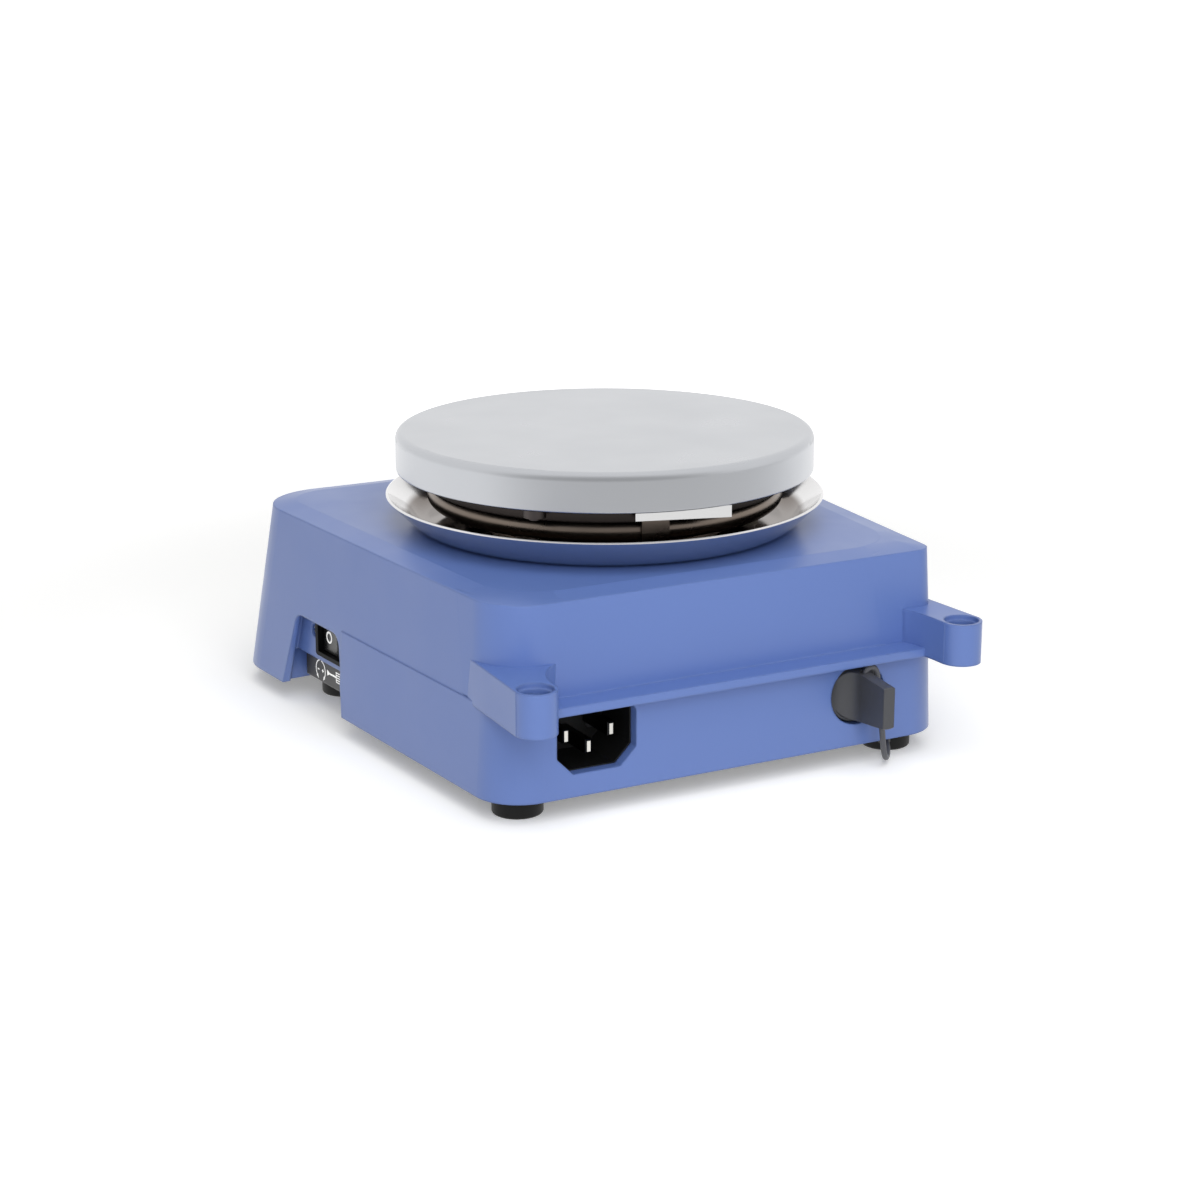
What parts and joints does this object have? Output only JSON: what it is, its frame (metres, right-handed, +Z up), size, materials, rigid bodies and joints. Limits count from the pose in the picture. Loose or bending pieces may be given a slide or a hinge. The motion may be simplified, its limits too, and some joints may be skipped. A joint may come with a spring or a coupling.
{
  "type": "hotplate magnetic stirrer",
  "caption": "Bench hotplate with a magnetic stirring drive under a round plate, drip bowl, rod holes, mains inlet and sensor socket.",
  "frame": {"origin": "on the bench under the middle of the whole object's box, tether not counted", "axes": "+Z up, +Y towards the rear with the rod holes and sockets, +X towards the side with the power switch"},
  "size_m": [0.1682, 0.2024, 0.0905],
  "materials": {
    "housing": "semi-gloss blue moulded plastic",
    "base": "dark grey coated sheet",
    "foot_rubber": "black rubber",
    "steel_screw": "zinc plated steel",
    "plate": "satin turned aluminium alloy",
    "heater": "dark heat-stained steel tube",
    "bright_sheet": "polished stainless sheet",
    "post_steel": "turned steel",
    "ceramic": "off-white ceramic",
    "motor_steel": "zinc plated steel",
    "lamination": "stacked electrical steel",
    "magnet": "dark ferrite",
    "inlet_black": "black moulded plastic",
    "pin_metal": "nickel plated brass",
    "plug_grey": "dark grey moulded plastic",
    "tether_grey": "grey flexible plastic",
    "rocker_black": "black glossy plastic",
    "spindle": "plain metal",
    "knob": "black satin plastic",
    "lens": "amber translucent plastic",
    "board": "green coated laminate",
    "board_post": "white nylon",
    "component": "dark moulded components",
    "sink": "extruded aluminium"
  },
  "bodies": {
    "stirrer": {"upper_housing": "housing", "base_plate": "base", "foot_rear_right": "foot_rubber", "foot_rear_left": "foot_rubber", "foot_front_right": "foot_rubber", "foot_front_left": "foot_rubber", "foot_screws": "steel_screw", "plate_screws": "steel_screw", "motor_screws": "steel_screw", "board_screws": "steel_screw", "control_nuts": "steel_screw", "earth_screw": "steel_screw", "hot_plate": "plate", "heater_tube": "heater", "heater_clamps": "bright_sheet", "angle_strip": "bright_sheet", "magnet_cover": "bright_sheet", "drip_bowl": "bright_sheet", "plate_posts": "post_steel", "temperature_sensor": "post_steel", "insulating_washers": "ceramic", "thermal_cutout": "ceramic", "motor_case": "motor_steel", "motor_bracket": "motor_steel", "motor_bearings": "motor_steel", "motor_stator": "lamination", "mains_inlet": "inlet_black", "thermometer_socket": "inlet_black", "switch_body": "inlet_black", "legend_plate": "inlet_black", "limiter_pot": "inlet_black", "heating_control": "inlet_black", "stirring_control": "inlet_black", "inlet_pins": "pin_metal", "socket_contacts": "pin_metal", "switch_terminals": "pin_metal", "plug_tether": "tether_grey", "indicator_lenses": "lens", "control_board": "board", "board_standoffs": "board_post", "transformer": "component", "capacitor": "component", "relay": "component", "triac": "component", "heat_sink": "sink"},
    "magnet_drive": {"motor_shaft": "motor_steel", "motor_rotor": "lamination", "magnet_yoke": "lamination", "drive_magnet_north": "magnet", "drive_magnet_south": "magnet"},
    "heating_control_knob": {"heating_knob": "knob", "heating_spindle": "spindle"},
    "stirring_control_knob": {"stirring_knob": "knob", "stirring_spindle": "spindle"},
    "power_rocker": {"power_rocker": "rocker_black"},
    "limit_adjuster": {"limit_adjuster": "spindle"},
    "blanking_plug": {"dummy_plug": "plug_grey", "plug_pins": "pin_metal"}
  },
  "joints": [
    {"name": "magnet_drive_spin", "type": "hinge", "parent": "stirrer", "child": "magnet_drive", "pos_m": [0, 0.0062, 0.04], "axis": [0, 0, 1], "continuous": true},
    {"name": "heating_knob_turn", "type": "hinge", "parent": "stirrer", "child": "heating_control_knob", "pos_m": [-0.038, -0.08524, 0.034], "axis": [0, 0.9642, -0.2652], "range_deg": [0, 270]},
    {"name": "stirring_knob_turn", "type": "hinge", "parent": "stirrer", "child": "stirring_control_knob", "pos_m": [0.038, -0.08524, 0.034], "axis": [0, 0.9642, -0.2652], "range_deg": [0, 300]},
    {"name": "power_rocker_tilt", "type": "hinge", "parent": "stirrer", "child": "power_rocker", "pos_m": [0.07315, -0.02436, 0.026], "axis": [0, 0, 1], "range_deg": [0, 16]},
    {"name": "limit_adjuster_turn", "type": "hinge", "parent": "stirrer", "child": "limit_adjuster", "pos_m": [0.07492, -0.03846, 0.0263], "axis": [0.9971, 0.0756, 0], "range_deg": [0, 270]},
    {"name": "blanking_plug_pull", "type": "slide", "parent": "stirrer", "child": "blanking_plug", "axis": [0, 1, 0], "range_m": [0, 0.012], "deforming": ["plug_tether"]}
  ]
}
